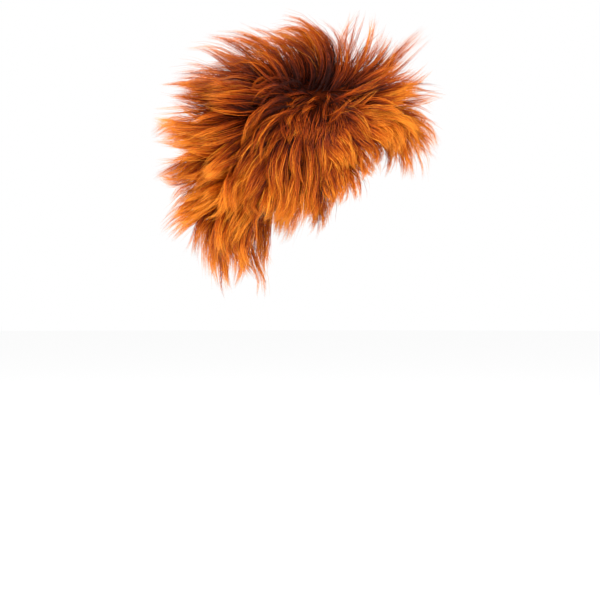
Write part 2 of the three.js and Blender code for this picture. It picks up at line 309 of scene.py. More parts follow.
class Shader:
    """A material that is put together node by node."""

    def __init__(self, name: str) -> None:
        """Starts a material with an empty tree.

        Args:
            name: the material's name.
        """
        self.material = bpy.data.materials.new(name)
        self.material.use_nodes = True
        self.tree = self.material.node_tree
        self.tree.nodes.clear()

    def node(
        self,
        kind: str,
        settings: dict[str, object] | None = None,
        sockets: dict[str | int, object] | None = None,
    ) -> bpy.types.Node:
        """Adds a node.

        Args:
            kind: the node's type.
            settings: its settings, which are set first. The key stops gives a ramp's places and colours.
            sockets: a value or a Value for each input that isn't left as it is.

        Returns:
            The node.
        """
        made = self.tree.nodes.new(kind)
        for name, setting in (settings or {}).items():
            if name == "stops":
                self._stops(made.color_ramp, setting)
            else:
                setattr(made, name, setting)
        for name, value in (sockets or {}).items():
            if isinstance(value, Value):
                self.tree.links.new(value.socket, made.inputs[name])
            else:
                made.inputs[name].default_value = value
        return made

    @staticmethod
    def _stops(ramp: bpy.types.ColorRamp, stops: list[tuple[float, Colour]]) -> None:
        """Gives a ramp its stops.

        Args:
            ramp: the ramp.
            stops: their places, in rising order, and their colours.
        """
        while len(ramp.elements) < len(stops):
            ramp.elements.new(1.0)
        for element, (place, colour) in zip(ramp.elements, stops):
            element.position, element.color = place, colour

    def math(self, operation: str, *values: "Value | float") -> Value:
        """One step of arithmetic."""
        made = self.node("ShaderNodeMath", {"operation": operation}, dict(enumerate(values)))
        return Value(self, made.outputs[0])

    def attribute(self, name: str) -> Value:
        """A number that the mesh carries."""
        made = self.node("ShaderNodeAttribute", {"attribute_name": name})
        return Value(self, made.outputs["Fac"])

    def place(self) -> Value:
        """Object coordinates."""
        return Value(self, self.node("ShaderNodeTexCoord").outputs["Object"])

    def noise(self, place: Value, scale: float, detail: float = 2.0) -> Value:
        """Noise from 0 to 1.

        Args:
            place: the coordinates.
            scale: how fine it is.
            detail: how many finer layers it has.

        Returns:
            The noise.
        """
        sockets = {"Vector": place, "Scale": scale, "Detail": detail}
        return Value(self, self.node("ShaderNodeTexNoise", None, sockets).outputs["Fac"])

    def ramp(self, factor: Value, stops: list[tuple[float, Colour]]) -> Value:
        """A colour from a ramp."""
        made = self.node("ShaderNodeValToRGB", {"stops": stops}, {"Fac": factor})
        return Value(self, made.outputs["Color"])

    def mix(self, factor: Value, first: object, second: object) -> Value:
        """A colour between two."""
        made = self.node("ShaderNodeMix", {"data_type": "RGBA"}, {0: factor, 6: first, 7: second})
        return Value(self, made.outputs[2])

    def bump(self, height: Value, distance: float, strength: float) -> Value:
        """Normals from a height."""
        sockets = {"Strength": strength, "Distance": distance, "Height": height}
        return Value(self, self.node("ShaderNodeBump", None, sockets).outputs[0])

    def finish(self, **sockets: object) -> bpy.types.Material:
        """Ends the tree in a Principled BSDF.

        Args:
            sockets: its inputs, with underscores for the spaces in their names.

        Returns:
            The material.
        """
        named = {name.replace("_", " "): value for name, value in sockets.items()}
        surface = self.node("ShaderNodeBsdfPrincipled", None, named)
        self.node("ShaderNodeOutputMaterial", None, {"Surface": Value(self, surface.outputs[0])})
        return self.material


@dataclass(frozen=True)
class HairDyeShadeAndGlow:
    """Dyed synthetic fibre, orange along its length, with painted shade that darkens it at the roots and a
    painted glow of light at the tips.
    """

    name: str = "hair_fibre"
    # roots and shade are painted shade at the strands' feet, tips is a painted glow of light through their
    # ends, middle and length are the fibre's own orange
    roots: str = "240601"
    shade: str = "561702"
    middle: str = "9c3903"
    length: str = "d4660c"
    tips: str = "f0942a"
    places: tuple[float, ...] = (0.0, 0.22, 0.5, 0.8, 1.0)
    darker: float = 0.09
    by_length: float = 0.98
    by_tone: float = 0.22
    tone_lost: float = 0.06
    by_patch: float = 0.14
    patch_scale: float = 24.0
    roughness: float = 0.4
    patch_roughness: float = 0.08
    specular: float = 0.16

    def make(self) -> bpy.types.Material:
        """The strands' material.

        Returns:
            The material, which reads the mesh's numbers along and tone.
        """
        shader = Shader(self.name)
        along, tone = shader.attribute("along"), shader.attribute("tone")
        patch = shader.noise(shader.place(), self.patch_scale)
        # The ramp runs from painted shade at the roots to a painted glow at the tips; tone and patch shift it
        # strand by strand.
        depth = along * self.by_length + tone * (self.by_tone - self.tone_lost * along)
        depth = depth + patch * self.by_patch - self.darker
        colours = (self.roots, self.shade, self.middle, self.length, self.tips)
        stops = [(place, srgb(colour)) for place, colour in zip(self.places, colours)]
        return shader.finish(
            Base_Color=shader.ramp(depth, stops),
            Roughness=self.roughness + self.patch_roughness * patch,
            Specular_IOR_Level=self.specular,
        )


@dataclass(frozen=True)
class DenseHairPaintedShade:
    """The dense hair under the wisps, which shows only between them, painted dark as the shade that falls
    between the wisps.
    """

    name: str = "dense_hair"
    # dark and light are painted shade, streaked as combed hair is
    dark: str = "1c0501"
    light: str = "4e1a05"
    fineness: float = 900.0
    streak: float = 0.12
    relief: float = 0.001
    roughness: float = 0.9
    specular: float = 0.02

    def make(self) -> bpy.types.Material:
        """The dense hair's material.

        Returns:
            The material, streaked as combed hair is.
        """
        shader = Shader(self.name)
        sockets = {"Vector": shader.place(), "Scale": (1, 1, self.streak)}
        stretched = shader.node("ShaderNodeMapping", {"vector_type": "POINT"}, sockets)
        streak = shader.noise(Value(shader, stretched.outputs[0]), self.fineness)
        return shader.finish(
            Base_Color=shader.mix(streak, srgb(self.dark), srgb(self.light)),
            Roughness=self.roughness,
            Specular_IOR_Level=self.specular,
            Normal=shader.bump(streak, self.relief, 0.5),
        )


@dataclass(frozen=True)
class NetFinish:
    """The cap's stretch net."""

    name: str = "cap_net"
    thread: str = "3a1a10"
    gap: str = "190a06"
    threads_round: float = 300.0
    threads_down: float = 110.0
    sharpness: float = 3.0
    relief: float = 0.0006
    roughness: float = 0.85

    def make(self) -> bpy.types.Material:
        """The net's material.

        Returns:
            The material, whose threads follow the cap's own map.
        """
        shader = Shader(self.name)
        made = shader.node("ShaderNodeUVMap", {"uv_map": "Net"})
        split = shader.node("ShaderNodeSeparateXYZ", None, {0: Value(shader, made.outputs[0])})
        waves = []
        for socket, threads in zip(split.outputs, (self.threads_round, self.threads_down)):
            waves.append(shader.math("ABSOLUTE", (Value(shader, socket) * (threads * math.pi)).sine()))
        thread = shader.math("MAXIMUM", *waves) ** self.sharpness
        return shader.finish(
            Base_Color=shader.mix(thread, srgb(self.gap), srgb(self.thread)),
            Roughness=self.roughness,
            Normal=shader.bump(thread, self.relief, 0.6),
        )


# shells: the cap and the dense hair


@dataclass
class Shell:
    """A closed shell over the head, open below, that a sphere is folded into."""

    outline: CapOutline
    segments: int = 96
    rings: int = 24
    near: float = 1e-3  # how near the ball's middle level a point counts as the shell's rim

    def build(
        self,
        name: str,
        end: float,
        outer: Callable[[Array, Array], Array],
        inner: float,
    ) -> bpy.types.Object:
        """Folds a sphere: its upper half becomes the outside and its lower half the inside.

        Args:
            name: the piece's name.
            end: where the shell ends, as a share of the way down to the cap's edge.
            outer: the outside's height over the head, from a share of the way down and a direction.
            inner: the inside's height over the head.

        Returns:
            The piece.
        """
        bm = bmesh.new()
        bmesh.ops.create_uvsphere(bm, u_segments=self.segments, v_segments=2 * self.rings, radius=1.0)
        ball = np.array([vert.co for vert in bm.verts])
        polar = np.arccos(np.clip(ball[:, 2], -1, 1)) / (math.pi / 2)
        share = np.sin(np.minimum(polar, 2 - polar) * math.pi / 2)
        azimuth = np.degrees(np.arctan2(ball[:, 1], ball[:, 0]))
        angle = share * end * self.outline.edge_angle(azimuth)
        direction = direction_at(angle, azimuth)
        lift = np.where(polar < 1 - self.near, outer(share, direction), inner)
        rim = np.abs(polar - 1) < self.near
        lift = np.where(rim, (outer(share, direction) + inner) / 2, lift)
        points, _ = self.outline.head.scalp(direction, lift[:, None])
        for vert, point in zip(bm.verts, points):
            vert.co = point
        net = bm.loops.layers.uv.new("Net")
        bm.verts.index_update()
        for face in bm.faces:
            turns = [azimuth[loop.vert.index] / 360 % 1 for loop in face.loops]
            for loop, turn in zip(face.loops, turns):
                wrapped = turn + 1 if max(turns) - turn > 0.5 else turn
                loop[net].uv = (wrapped, share[loop.vert.index])
            face.smooth = True
        return finish_mesh(bm, name)


def placed(data: bpy.types.ID, name: str) -> bpy.types.Object:
    """Puts a mesh, a light or a camera into the scene.

    Args:
        data: what the object shows.
        name: the object's name.

    Returns:
        The object.
    """
    made = bpy.data.objects.new(name, data)
    bpy.context.scene.collection.objects.link(made)
    return made


def finish_mesh(bm: bmesh.types.BMesh, name: str) -> bpy.types.Object:
    """Turns a bmesh into an object of the scene.

    Args:
        bm: the bmesh, which is freed.
        name: the object's name.

    Returns:
        The object.
    """
    mesh = bpy.data.meshes.new(name)
    bm.to_mesh(mesh)
    bm.free()
    return placed(mesh, name)


@dataclass
class Cap:
    """The fitted stretch cap with its turned hem."""

    outline: CapOutline
    hem_share: float = 0.045
    hem_extra: float = 0.001
    area: float = 0.0608

    def build(self) -> bpy.types.Object:
        """Builds the cap.

        Returns:
            The piece, which stands for the frame's cap.
        """

        def outside(share: Array, _: Array) -> Array:
            """The wall, and the hem that stands out of it."""
            hem = smoothstep(share, 1 - self.hem_share, 1 - self.hem_share / 2)
            return self.outline.wall + self.hem_extra * hem

        piece = Shell(self.outline).build("stretch_cap", 1.0, outside, 0.0)
        piece.data.materials.append(NetFinish().make())
        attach(piece, BODY)
        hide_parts("cap")
        return piece


@dataclass
class DenseHair:
    """The dense hair close to the cap, which the wisps grow out of."""

    outline: CapOutline
    end: float = 0.93
    clearance: float = 0.0004
    depth: float = 0.050
    side_share: float = 0.27
    side_span: Span = (5, 38)
    core: float = 0.74
    under: float = 0.42
    under_span: Span = (6, 26)
    edge_height: float = 0.002
    edge_span: Span = (0.68, 0.93)
    pitches: tuple[float, ...] = (-150, -125, -95, -45, 0, 35, 60, 100)
    depths: tuple[float, ...] = (0.2, 0.55, 0.8, 0.9, 1, 0.92, 0.5, 0.2)

    def height(self, direction: Array) -> Array:
        """How far the dense hair stands out of the head: less down the sides and along the edge.

        Args:
            direction: unit vectors from the head's middle.

        Returns:
            The height along each.
        """
        pitch, side = pitch_and_side(direction)
        side = np.abs(side)
        azimuth = np.degrees(np.arctan2(direction[:, 1], direction[:, 0]))
        share = np.arccos(np.clip(direction[:, 2], -1, 1)) / self.outline.edge_angle(azimuth)
        middle = self.depth * read(pitch, self.pitches, self.depths)
        under = self.core + (self.under - self.core) * smoothstep(side, *self.under_span)
        depth = middle * (1 + (self.side_share - 1) * smoothstep(side, *self.side_span)) * under
        return self.outline.wall + depth + (self.edge_height - depth) * smoothstep(share, *self.edge_span)

    def build(self) -> bpy.types.Object:
        """Builds the dense hair.

        Returns:
            The piece.
        """

        def outside(_: Array, direction: Array) -> Array:
            """The dense hair's height."""
            return self.height(direction)

        piece = Shell(self.outline).build("dense_hair", self.end, outside, self.outline.wall + self.clearance)
        piece.data.materials.append(DenseHairPaintedShade().make())
        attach(piece, BODY)
        return piece


# how the hair grows


class Zone(Enum):
    """Which part of the head a root lies on."""

    CREST = "crest"
    FRINGE = "fringe"
    BACK = "back_hair"
    NAPE = "nape_hair"
    RIGHT = "right_side_hair"
    LEFT = "left_side_hair"


@dataclass(frozen=True)
class Zones:
    """Where the sections meet."""

    fringe_pitch: float = 38
    back_pitch: float = -54
    nape_pitch: float = -113
    crest_half: float = 0.042
    back_half: float = 0.062

    def inside(self, zone: Zone, pitch: Array, points: Array) -> Array:
        """Which roots belong to a section.

        Args:
            zone: the section.
            pitch: degrees forward of straight up, seen from the side.
            points: the roots.

        Returns:
            True for each root of the section.
        """
        wide = np.abs(points[:, 1])
        crest = (pitch > self.back_pitch) & (pitch <= self.fringe_pitch) & (wide < self.crest_half)
        fringe = (pitch > self.fringe_pitch) & (wide < self.back_half)
        nape = pitch <= self.nape_pitch
        back = (pitch <= self.back_pitch) & ~nape & (wide < self.back_half)
        rest = ~(crest | fringe | nape | back)
        return {
            Zone.CREST: crest,
            Zone.FRINGE: fringe,
            Zone.BACK: back,
            Zone.NAPE: nape,
            Zone.RIGHT: rest & (points[:, 1] < 0),
            Zone.LEFT: rest & (points[:, 1] > 0),
        }[zone]


@dataclass(frozen=True)
class Tuft:
    """A tuft on the centre line: its place, its headings at the root and the tip, and its length."""

    pitch: float
    start: float
    end: float
    length: float


@dataclass(frozen=True)
class File:
    """How a section's tufts change beside the centre line."""

    side: float
    lean: float
    swing: float
    length: float


@dataclass(frozen=True)
class Station:
    """A place on a course of the side hair, and how the hair grows there."""

    pitch: float
    start: float
    end: float
    rise: float
    fall: float
    length: float


@dataclass(frozen=True)
class Course:
    """A row of stations that runs round the head at one level of its side, in degrees."""

    side: float
    stations: tuple[Station, ...]


@dataclass
class Growth:
    """How each wisp of a section grows: headings and leans in degrees, and the length."""

    start: Array
    end: Array
    rise: Array
    fall: Array
    length: Array

    def ways(self, turn: Array, tilt: Array, settle: Array) -> Array:
        """The way that each wisp points at each of its steps.

        Args:
            turn: what is added to the headings, for each wisp and step.
            tilt: what is added to the leans.
            settle: how much of its lean each wisp keeps.

        Returns:
            Unit vectors.
        """
        share = np.linspace(0, 1, STEPS + 1)[None, :]
        heading = self.start[:, None] + (self.end - self.start)[:, None] * share**BEND + turn
        lean = (self.rise[:, None] * (1 - share) + self.fall[:, None] * share) * settle + tilt
        heading, lean = np.radians(heading), np.radians(lean)
        return np.stack([np.cos(heading) * np.cos(lean), np.sin(lean), np.sin(heading) * np.cos(lean)], -1)


@dataclass(frozen=True)
class MiddlePlan:
    """A section on the centre line."""

    tufts: tuple[Tuft, ...]
    files: tuple[File, ...]

    def growth(self, pitch: Array, side: Array, full: float) -> Growth:
        """How the section's hair grows.

        Args:
            pitch: degrees forward of straight up.
            side: degrees round the head, positive on the left.
            full: the length of a share of one.

        Returns:
            The growth at each root.
        """
        rows = sorted(self.tufts, key=lambda tuft: tuft.pitch)
        places = [tuft.pitch for tuft in rows]
        files = (File(0, 0, 0, 1), *self.files)
        sides = [file.side for file in files]
        lean = np.interp(np.abs(side), sides, [file.lean for file in files])
        swing = np.interp(np.abs(side), sides, [file.swing for file in files])
        share = np.interp(np.abs(side), sides, [file.length for file in files])
        return Growth(
            start=np.interp(pitch, places, [tuft.start for tuft in rows]) + swing,
            end=np.interp(pitch, places, [tuft.end for tuft in rows]) + swing,
            rise=lean * np.sign(side),
            fall=lean * np.sign(side),
            length=full * share * np.interp(pitch, places, [tuft.length for tuft in rows]),
        )


@dataclass(frozen=True)
class SidePlan:
    """The hair of one side, in courses from the crest down to the ear."""

    courses: tuple[Course, ...]

    def growth(self, pitch: Array, side: Array, full: float) -> Growth:
        """How the side's hair grows.

        Args:
            pitch: degrees forward of straight up.
            side: degrees round the head, positive on the left.
            full: the length of a share of one.

        Returns:
            The growth at each root.
        """
        levels = [course.side for course in self.courses]

        def between(name: str) -> Array:
            """One of the stations' numbers, between the stations and between the courses.

            Args:
                name: the stations' column.

            Returns:
                The number at each root.
            """
            columns = []
            for course in self.courses:
                rows = sorted(course.stations, key=lambda station: station.pitch)
                places = [station.pitch for station in rows]
                columns.append(np.interp(pitch, places, [getattr(station, name) for station in rows]))
            table = np.stack(columns, -1)
            return np.array([np.interp(s, levels, row) for s, row in zip(np.abs(side), table)])

        hand = np.sign(side)
        return Growth(
            start=between("start"),
            end=between("end"),
            rise=between("rise") * hand,
            fall=between("fall") * hand,
            length=full * between("length"),
        )


# a tuft: pitch, start, end, length; a file: side, lean, swing, length
CREST_PLAN = MiddlePlan(
    tufts=(
        Tuft(34, 16, 18, 1.12),
        Tuft(28, 22, 44, 1.18),
        Tuft(22, 28, 58, 1.2),
        Tuft(18, 34, 70, 1.16),
        Tuft(14, 42, 88, 1.1),
        Tuft(10, 46, 130, 1.1),
        Tuft(6, 46, 196, 1.24),
        Tuft(1, 48, 214, 1.36),
        Tuft(-6, 68, 206, 1.24),
        Tuft(-12, 84, 196, 1.12),
        Tuft(-20, 102, 194, 1.14),
        Tuft(-29, 120, 184, 1.16),
        Tuft(-38, 140, 192, 1.14),
        Tuft(-47, 164, 186, 1.1),
    ),
    files=(File(15, 8, 0, 0.92), File(25, 19, 0, 0.78), File(36, 35, 0, 0.64)),
)
FRINGE_PLAN = MiddlePlan(
    tufts=(Tuft(42, 14, -12, 1.0), Tuft(47, 10, -44, 0.96), Tuft(52, 4, -84, 0.98), Tuft(57, -14, -114, 1.0)),
    files=(File(13, 10, 0, 0.98), File(27, 20, -4, 0.88), File(38, 26, -8, 0.7)),
)
BACK_PLAN = MiddlePlan(
    tufts=(
        Tuft(-58, 186, 176, 1.1),
        Tuft(-67, 198, 176, 1.06),
        Tuft(-76, 206, 180, 0.95),
        Tuft(-85, 214, 184, 0.92),
        Tuft(-94, 220, 190, 0.92),
        Tuft(-102, 224, 206, 0.94),
        Tuft(-109, 234, 234, 0.92),
    ),
    files=(File(13, 15, 0, 0.98), File(26, 30, 4, 0.95), File(38, 45, 10, 0.9)),
)
NAPE_PLAN = MiddlePlan(
    tufts=(Tuft(-117, 226, 282, 0.88), Tuft(-123, 240, 292, 0.97), Tuft(-129, 256, 288, 1.04)),
    files=(File(14, 8, 4, 1.0), File(26, 12, 10, 1.0), File(38, 8, 0, 1.06), File(50, 0, -16, 1.0)),
)
# a station: pitch, start, end, rise, fall, length
BESIDE_THE_CREST = Course(
    side=35,
    stations=(
        Station(48, 335, 300, 36, 0, 0.86),
        Station(30, 290, 285, 35, -4, 0.9),
        Station(12, 206, 272, 36, -10, 1.06),
        Station(-8, 192, 262, 38, -10, 1.14),
        Station(-46, 190, 222, 40, 8, 1.16),
    ),
)
HIGH_ON_THE_SIDE = Course(
    side=50,
    stations=(
        Station(52, 320, 285, 28, -6, 0.54),
        Station(30, 286, 282, 27, -8, 0.82),
        Station(5, 254, 278, 30, -10, 1.06),
        Station(-52, 220, 242, 34, 6, 1.08),
        Station(-100, 216, 246, 36, 6, 0.94),
    ),
)
OVER_THE_EAR = Course(
    side=66,
    stations=(
        Station(180, 262, 268, 24, -8, 1.02),
        Station(120, 270, 270, 26, -8, 0.76),
        Station(55, 298, 268, 26, -8, 0.46),
        Station(25, 284, 276, 30, -10, 0.7),
        Station(-5, 266, 280, 30, -12, 1.28),
        Station(-60, 234, 256, 32, 4, 1.0),
        Station(-106, 226, 266, 34, 0, 0.96),
        Station(-145, 236, 262, 28, -4, 0.95),
        Station(-180, 262, 268, 24, -8, 1.02),
    ),
)
BY_THE_EAR = Course(
    side=77,
    stations=(
        Station(180, 264, 268, 18, -8, 0.98),
        Station(150, 264, 268, 20, -8, 0.92),
        Station(105, 270, 272, 20, -6, 0.6),
        Station(40, 275, 278, 20, -8, 0.6),
        Station(10, 268, 274, 20, -10, 1.3),
        Station(-30, 264, 272, 22, -10, 1.3),
        Station(-80, 246, 268, 24, -6, 1.06),
        Station(-140, 246, 264, 22, -4, 0.88),
        Station(-180, 264, 268, 18, -8, 0.98),
    ),
)
SIDE_PLAN = SidePlan(courses=(BESIDE_THE_CREST, HIGH_ON_THE_SIDE, OVER_THE_EAR, BY_THE_EAR))


@dataclass(frozen=True)
class Combing:
    """How the hair grows anywhere on the head: the middle's plans turn into the sides' plan."""

    full_length: float = 0.094
    pitches: tuple[float, ...] = (-130, -105, -54, 0, 38, 60)
    turns_from: tuple[float, ...] = (60, 36, 24, 20, 24, 34)
    turns_until: tuple[float, ...] = (80, 62, 50, 46, 50, 60)
    whorl_share: float = 0.45
    whorl_span: Span = (0.3, 0.9)

    def share_of_side(self, pitch: Array, side: Array) -> Array:
        """How much of each root's growth is the side's.

        Args:
            pitch: degrees forward of straight up.
            side: degrees round the head.

        Returns:
            From 0 to 1.
        """
        low = np.interp(pitch, self.pitches, self.turns_from)
        high = np.interp(pitch, self.pitches, self.turns_until)
        return smoothstep((np.abs(side) - low) / (high - low), 0, 1)

    def grow(
        self, pitch: Array, side: Array, turn: Array, tilt: Array, settle: Array, jitter: Array
    ) -> tuple[Array, Array]:
        """How the hair grows at each root. Where the plans disagree, as in a whorl, it is shorter.

        Args:
            pitch: degrees forward of straight up.
            side: degrees round the head, positive on the left.
            turn: what is added to the headings.
            tilt: what is added to the leans.
            settle: how much of its lean each wisp keeps.
            jitter: degrees that the turn from the middle to the side is moved by.

        Returns:
            The way at each step, and the length.
        """
        zones = Zones()
        ways = np.zeros((len(pitch), STEPS + 1, 3))
        length = np.zeros(len(pitch))
        bounds = (-181, zones.nape_pitch, zones.back_pitch, zones.fringe_pitch, 181)
        for low, high, plan in zip(bounds, bounds[1:], (NAPE_PLAN, BACK_PLAN, CREST_PLAN, FRINGE_PLAN)):
            mine = (pitch > low) & (pitch <= high)
            growth = plan.growth(pitch[mine], side[mine], self.full_length)
            ways[mine] = growth.ways(turn[mine], tilt[mine], settle[mine])
            length[mine] = growth.length
        growth = SIDE_PLAN.growth(pitch, side, self.full_length)
        share = self.share_of_side(pitch, np.abs(side) + jitter)
        ways += (growth.ways(turn, tilt, settle) - ways) * share[:, None, None]
        agree = smoothstep(np.linalg.norm(ways, axis=-1).mean(-1), *self.whorl_span)
        length += (growth.length - length) * share
        return unit(ways), length * (self.whorl_share + (1 - self.whorl_share) * agree)


@dataclass(frozen=True)
class Parting:
    """The foot of the crest, where the hair is painted darkest as shade: the degrees over which it begins and
    ends.
    """

    side_begins: Span = (12, 26)
    side_ends: Span = (48, 68)
    back_begins: Span = (-85, -50)
    front_ends: Span = (20, 42)

    def nearness(self, pitch: Array, side: Array) -> Array:
        """How near each root is to the parting.

        Args:
            pitch: degrees forward of straight up.
            side: degrees round the head.

        Returns:
            From 0 to 1.
        """
        wide = np.abs(side)
        across = smoothstep(wide, *self.side_begins) * (1 - smoothstep(wide, *self.side_ends))
        return across * smoothstep(pitch, *self.back_begins) * (1 - smoothstep(pitch, *self.front_ends))


@dataclass(frozen=True)
class Scatter:
    """How far a family strays from its plan, and each wisp from its family."""

    family: float
    own: float


@dataclass(frozen=True)
class Habit:
    """How the wisps differ in every section. The first seven are shares of its own measures."""

    heading: Scatter = Scatter(0.7, 0.4)
    heading_turn: Scatter = Scatter(0.6, 0.4)
    heading_flick: Scatter = Scatter(1.0, 0.3)
    lean: Scatter = Scatter(0.3, 0.3)
    lean_turn: Scatter = Scatter(0.8, 0.4)
    lean_flick: Scatter = Scatter(0.5, 0.2)
    lean_wave: float = 0.7
    flick_span: Span = (0.5, 1.0)
    wave_phase: float = 0.08
    wave_turns: Span = (0.9, 1.7)
    calm: float = 0.75
    settled: float = 0.8
    settle: Scatter = Scatter(0.16, 0.1)
    settle_limits: Span = (0.4, 1.1)
    pitch: Scatter = Scatter(5, 3)
    side: Scatter = Scatter(5, 4)
    size: Scatter = Scatter(0.7, 0.3)
    gather_limits: Span = (0.5, 1.4)
    gather_curve: float = 1.3
    gather_most: float = 0.9
    least_room: float = 0.2
    more_room: Span = (0.3, 1.6)
    outward: float = 0.5
    tone: float = 0.4
    # parting_shade and cropped_shade paint shade at the crest's foot, deepest on its short hair
    parting_shade: float = 1.1
    cropped_shade: float = 5.0
    cropped_under: float = 0.62


@dataclass(frozen=True)
class StrandHabit:
    """How the strands of a wisp differ in every section."""

    shortest: float = 0.64
    evenness: float = 0.6
    ripple: float = 0.0013
    ripple_turns: Span = (5, 12)
    ripple_starts: Span = (0, 6.3)
    strays: float = 2.0
    gathers: float = 0.85
    gather_curve: float = 1.3
    flatness: float = 0.8
    settles_by: float = 0.35
    clearance: float = 0.0005
    tone: float = 1.1
    thicknesses: Span = (0.65, 1.25)


@dataclass
class Wisps:
    """The lines that the wisps of a section follow, with a frame at each step."""

    points: Array
    across: Array
    face: Array
    normal: Array
    tone: Array


@dataclass
class HairSection:
    """One section of the hair: its wisps, and the strands that make them up."""

    zone: Zone
    outline: CapOutline
    wisps: int
    strands: int = 12
    family: int = 7
    rings: int = 6
    spread: float = 0.0042
    thickness: float = 0.00056
    heading_scatter: float = 10.0
    lean_scatter: float = 9.0
    wave: float = 14.0
    flick: float = 24.0
    shortest: float = 0.62
    longest: float = 1.1
    room: float = 0.004
    gather: float = 0.8
    stray: float = 0.07
    tone: float = 0.0
    until: float = 0.95
    root_jitter: float = 2.0
    root_height: float = 0.0006
    spare: int = 4
    retry: float = 1.15
    habit: Habit = Habit()
    strand_habit: StrandHabit = StrandHabit()

    def __post_init__(self) -> None:
        """Starts the source of the small differences, each section's own."""
        self.rng = np.random.default_rng(SEED + list(Zone).index(self.zone))

    def roots(self) -> tuple[Array, Array, Array, Array]:
        """Spreads roots evenly over the section.

        Returns:
            The roots, the head's normals there, and their pitch and side in degrees.
        """
        count, mine = self.wisps * self.spare, np.zeros(0, bool)
        while mine.sum() < self.wisps:
            direction = spread_over(self.outline, count, self.until, self.root_jitter, self.rng)
            points, normal = self.outline.head.scalp(direction, self.outline.wall + self.root_height)
            pitch, side = pitch_and_side(direction)
            mine = Zones().inside(self.zone, pitch, points)
            count = int(count * self.retry)
        keep = np.sort(self.rng.permutation(mine.sum())[: self.wisps])
        return tuple(part[mine][keep] for part in (points, normal, pitch, side))

    def grow(self) -> Wisps:
        """Works out the wisps' lines, family by family: a family leans one way and gathers to its tip.

        Returns:
            The wisps.
        """
        habit, rng = self.habit, self.rng
        root, normal, pitch, side = self.roots()
        count = len(root)
        heads = rng.permutation(count)[: max(1, count // self.family)]
        mine = heads[np.argmin(np.linalg.norm(root[:, None] - root[heads][None], axis=-1), 1)]
        share = np.linspace(0, 1, STEPS + 1)[None, :]

        def scatter(by: Scatter, size: float = 1.0) -> Array:
            """A difference that a family shares, and each wisp's own."""
            shared = rng.normal(0, by.family * size, (count, 1))[mine]
            return shared + rng.normal(0, by.own * size, (count, 1))

        def swell(size: float) -> Array:
            """A wave along the wisp.

            Args:
                size: how high it is.

            Returns:
                Its height at each step.
            """
            phase = rng.random((count, 1))[mine] + rng.normal(0, habit.wave_phase, (count, 1))
            pace = rng.uniform(*habit.wave_turns, (count, 1))[mine]
            return size * np.minimum(2 * share, 1) * np.sin(2 * math.pi * (share * pace + phase))

        late = smoothstep(share, *habit.flick_span)
        spread, tilt = self.heading_scatter, self.lean_scatter
        foot = Parting().nearness(pitch, side)
        loose = 1 - habit.calm * foot[:, None]
        turn = scatter(habit.heading, spread) + scatter(habit.heading_turn, spread) * share
        turn = turn + (swell(self.wave) + scatter(habit.heading_flick, self.flick) * late) * loose
        settle = np.clip(habit.settled + scatter(habit.settle), *habit.settle_limits)
        tip = scatter(habit.lean, tilt) + scatter(habit.lean_turn, tilt) * share
        sway = swell(self.wave * habit.lean_wave) + scatter(habit.lean_flick, self.flick) * late
        tip = tip + sway * loose
        near = pitch + scatter(habit.pitch)[:, 0]
        along, length = Combing().grow(near, side, turn, tip, settle, scatter(habit.side)[:, 0])
        middle = (self.shortest + self.longest) / 2
        reach = (self.longest - self.shortest) / 2
        family = habit.size.family * rng.uniform(-1, 1, count)[mine]
        own = habit.size.own * rng.uniform(-1, 1, count)
        size = middle + reach * (family + own)
        steps = along[:, :-1] * (length * size / STEPS)[:, None, None]
        points = root[:, None] + np.concatenate([np.zeros((count, 1, 3)), np.cumsum(steps, 1)], 1)
        together = self.gather * rng.uniform(*habit.gather_limits, (count, 1)) * share**habit.gather_curve
        points = points + (points[mine] - points) * np.minimum(together, habit.gather_most)[..., None]
        cropped = np.clip(1 - length / (habit.cropped_under * Combing().full_length), 0, 1)
        # painted shade: the wisps at the crest's foot are darker, and the short ones there darker still
        tone = self.tone - (habit.parting_shade + habit.cropped_shade * cropped) * foot
        tone = tone + rng.normal(0, habit.tone, count)[mine] + rng.normal(0, habit.tone, count)
        return self._framed(points, normal, side, tone)

    def _framed(self, points: Array, normal: Array, side: Array, tone: Array) -> Wisps:
        """Lifts the lines clear of the head and gives them their frames.

        Args:
            points: the wisps' lines.
            normal: the head's normals at their roots.
            side: the roots' degrees round the head.
            tone: how light each wisp is.

        Returns:
            The wisps.
        """
        share = np.linspace(0, 1, STEPS + 1)[None, :, None]
        more = self.rng.uniform(*self.habit.more_room, (len(points), 1, 1))
        room = self.room * (self.habit.least_room + more) * np.sqrt(share)
        points = self.outline.head.clear(points, self.outline.wall + room)
        along = unit(np.gradient(points, axis=1))
        face = normal.copy()
        face[:, 1] += self.habit.outward * np.sign(side)
        faces = []
        for step in range(STEPS + 1):
            face = unit(face - along[:, step] * np.sum(face * along[:, step], -1, keepdims=True))
            faces.append(face)
        face = np.stack(faces, 1)
        return Wisps(points, np.cross(along, face), face, normal, tone)

    def strand_lines(self, wisps: Wisps) -> tuple[Array, Array, Array, Array]:
        """Lays the strands along their wisps.

        Args:
            wisps: the wisps.

        Returns:
            The strands' points, the way each faces, its tone and its thickness.
        """
        habit, rng = self.strand_habit, self.rng
        whose = np.repeat(np.arange(len(wisps.points)), self.strands)
        total = len(whose)
        reach = rng.uniform(habit.shortest, 1.0, (total, 1)) ** habit.evenness
        share = np.linspace(0, 1, self.rings)[None, :] * reach
        place = share * STEPS
        low = np.minimum(place.astype(int), STEPS - 1)
        part = (place - low)[..., None]

        def follow(values: Array) -> Array:
            """A wisp's values at the strand's places.

            Args:
                values: the wisps' values at each step.

            Returns:
                The strands' values at each ring.
            """
            mine = values[whose]
            rows = np.arange(total)[:, None]
            return mine[rows, low] * (1 - part) + mine[rows, low + 1] * part

        def ripple() -> Array:
            """A strand's own slight wave.

            Returns:
                Its height at each ring.
            """
            turns = share * rng.uniform(*habit.ripple_turns, (total, 1))
            turns = turns + rng.uniform(*habit.ripple_starts, (total, 1))
            return (habit.ripple * share * np.sin(turns))[..., None]

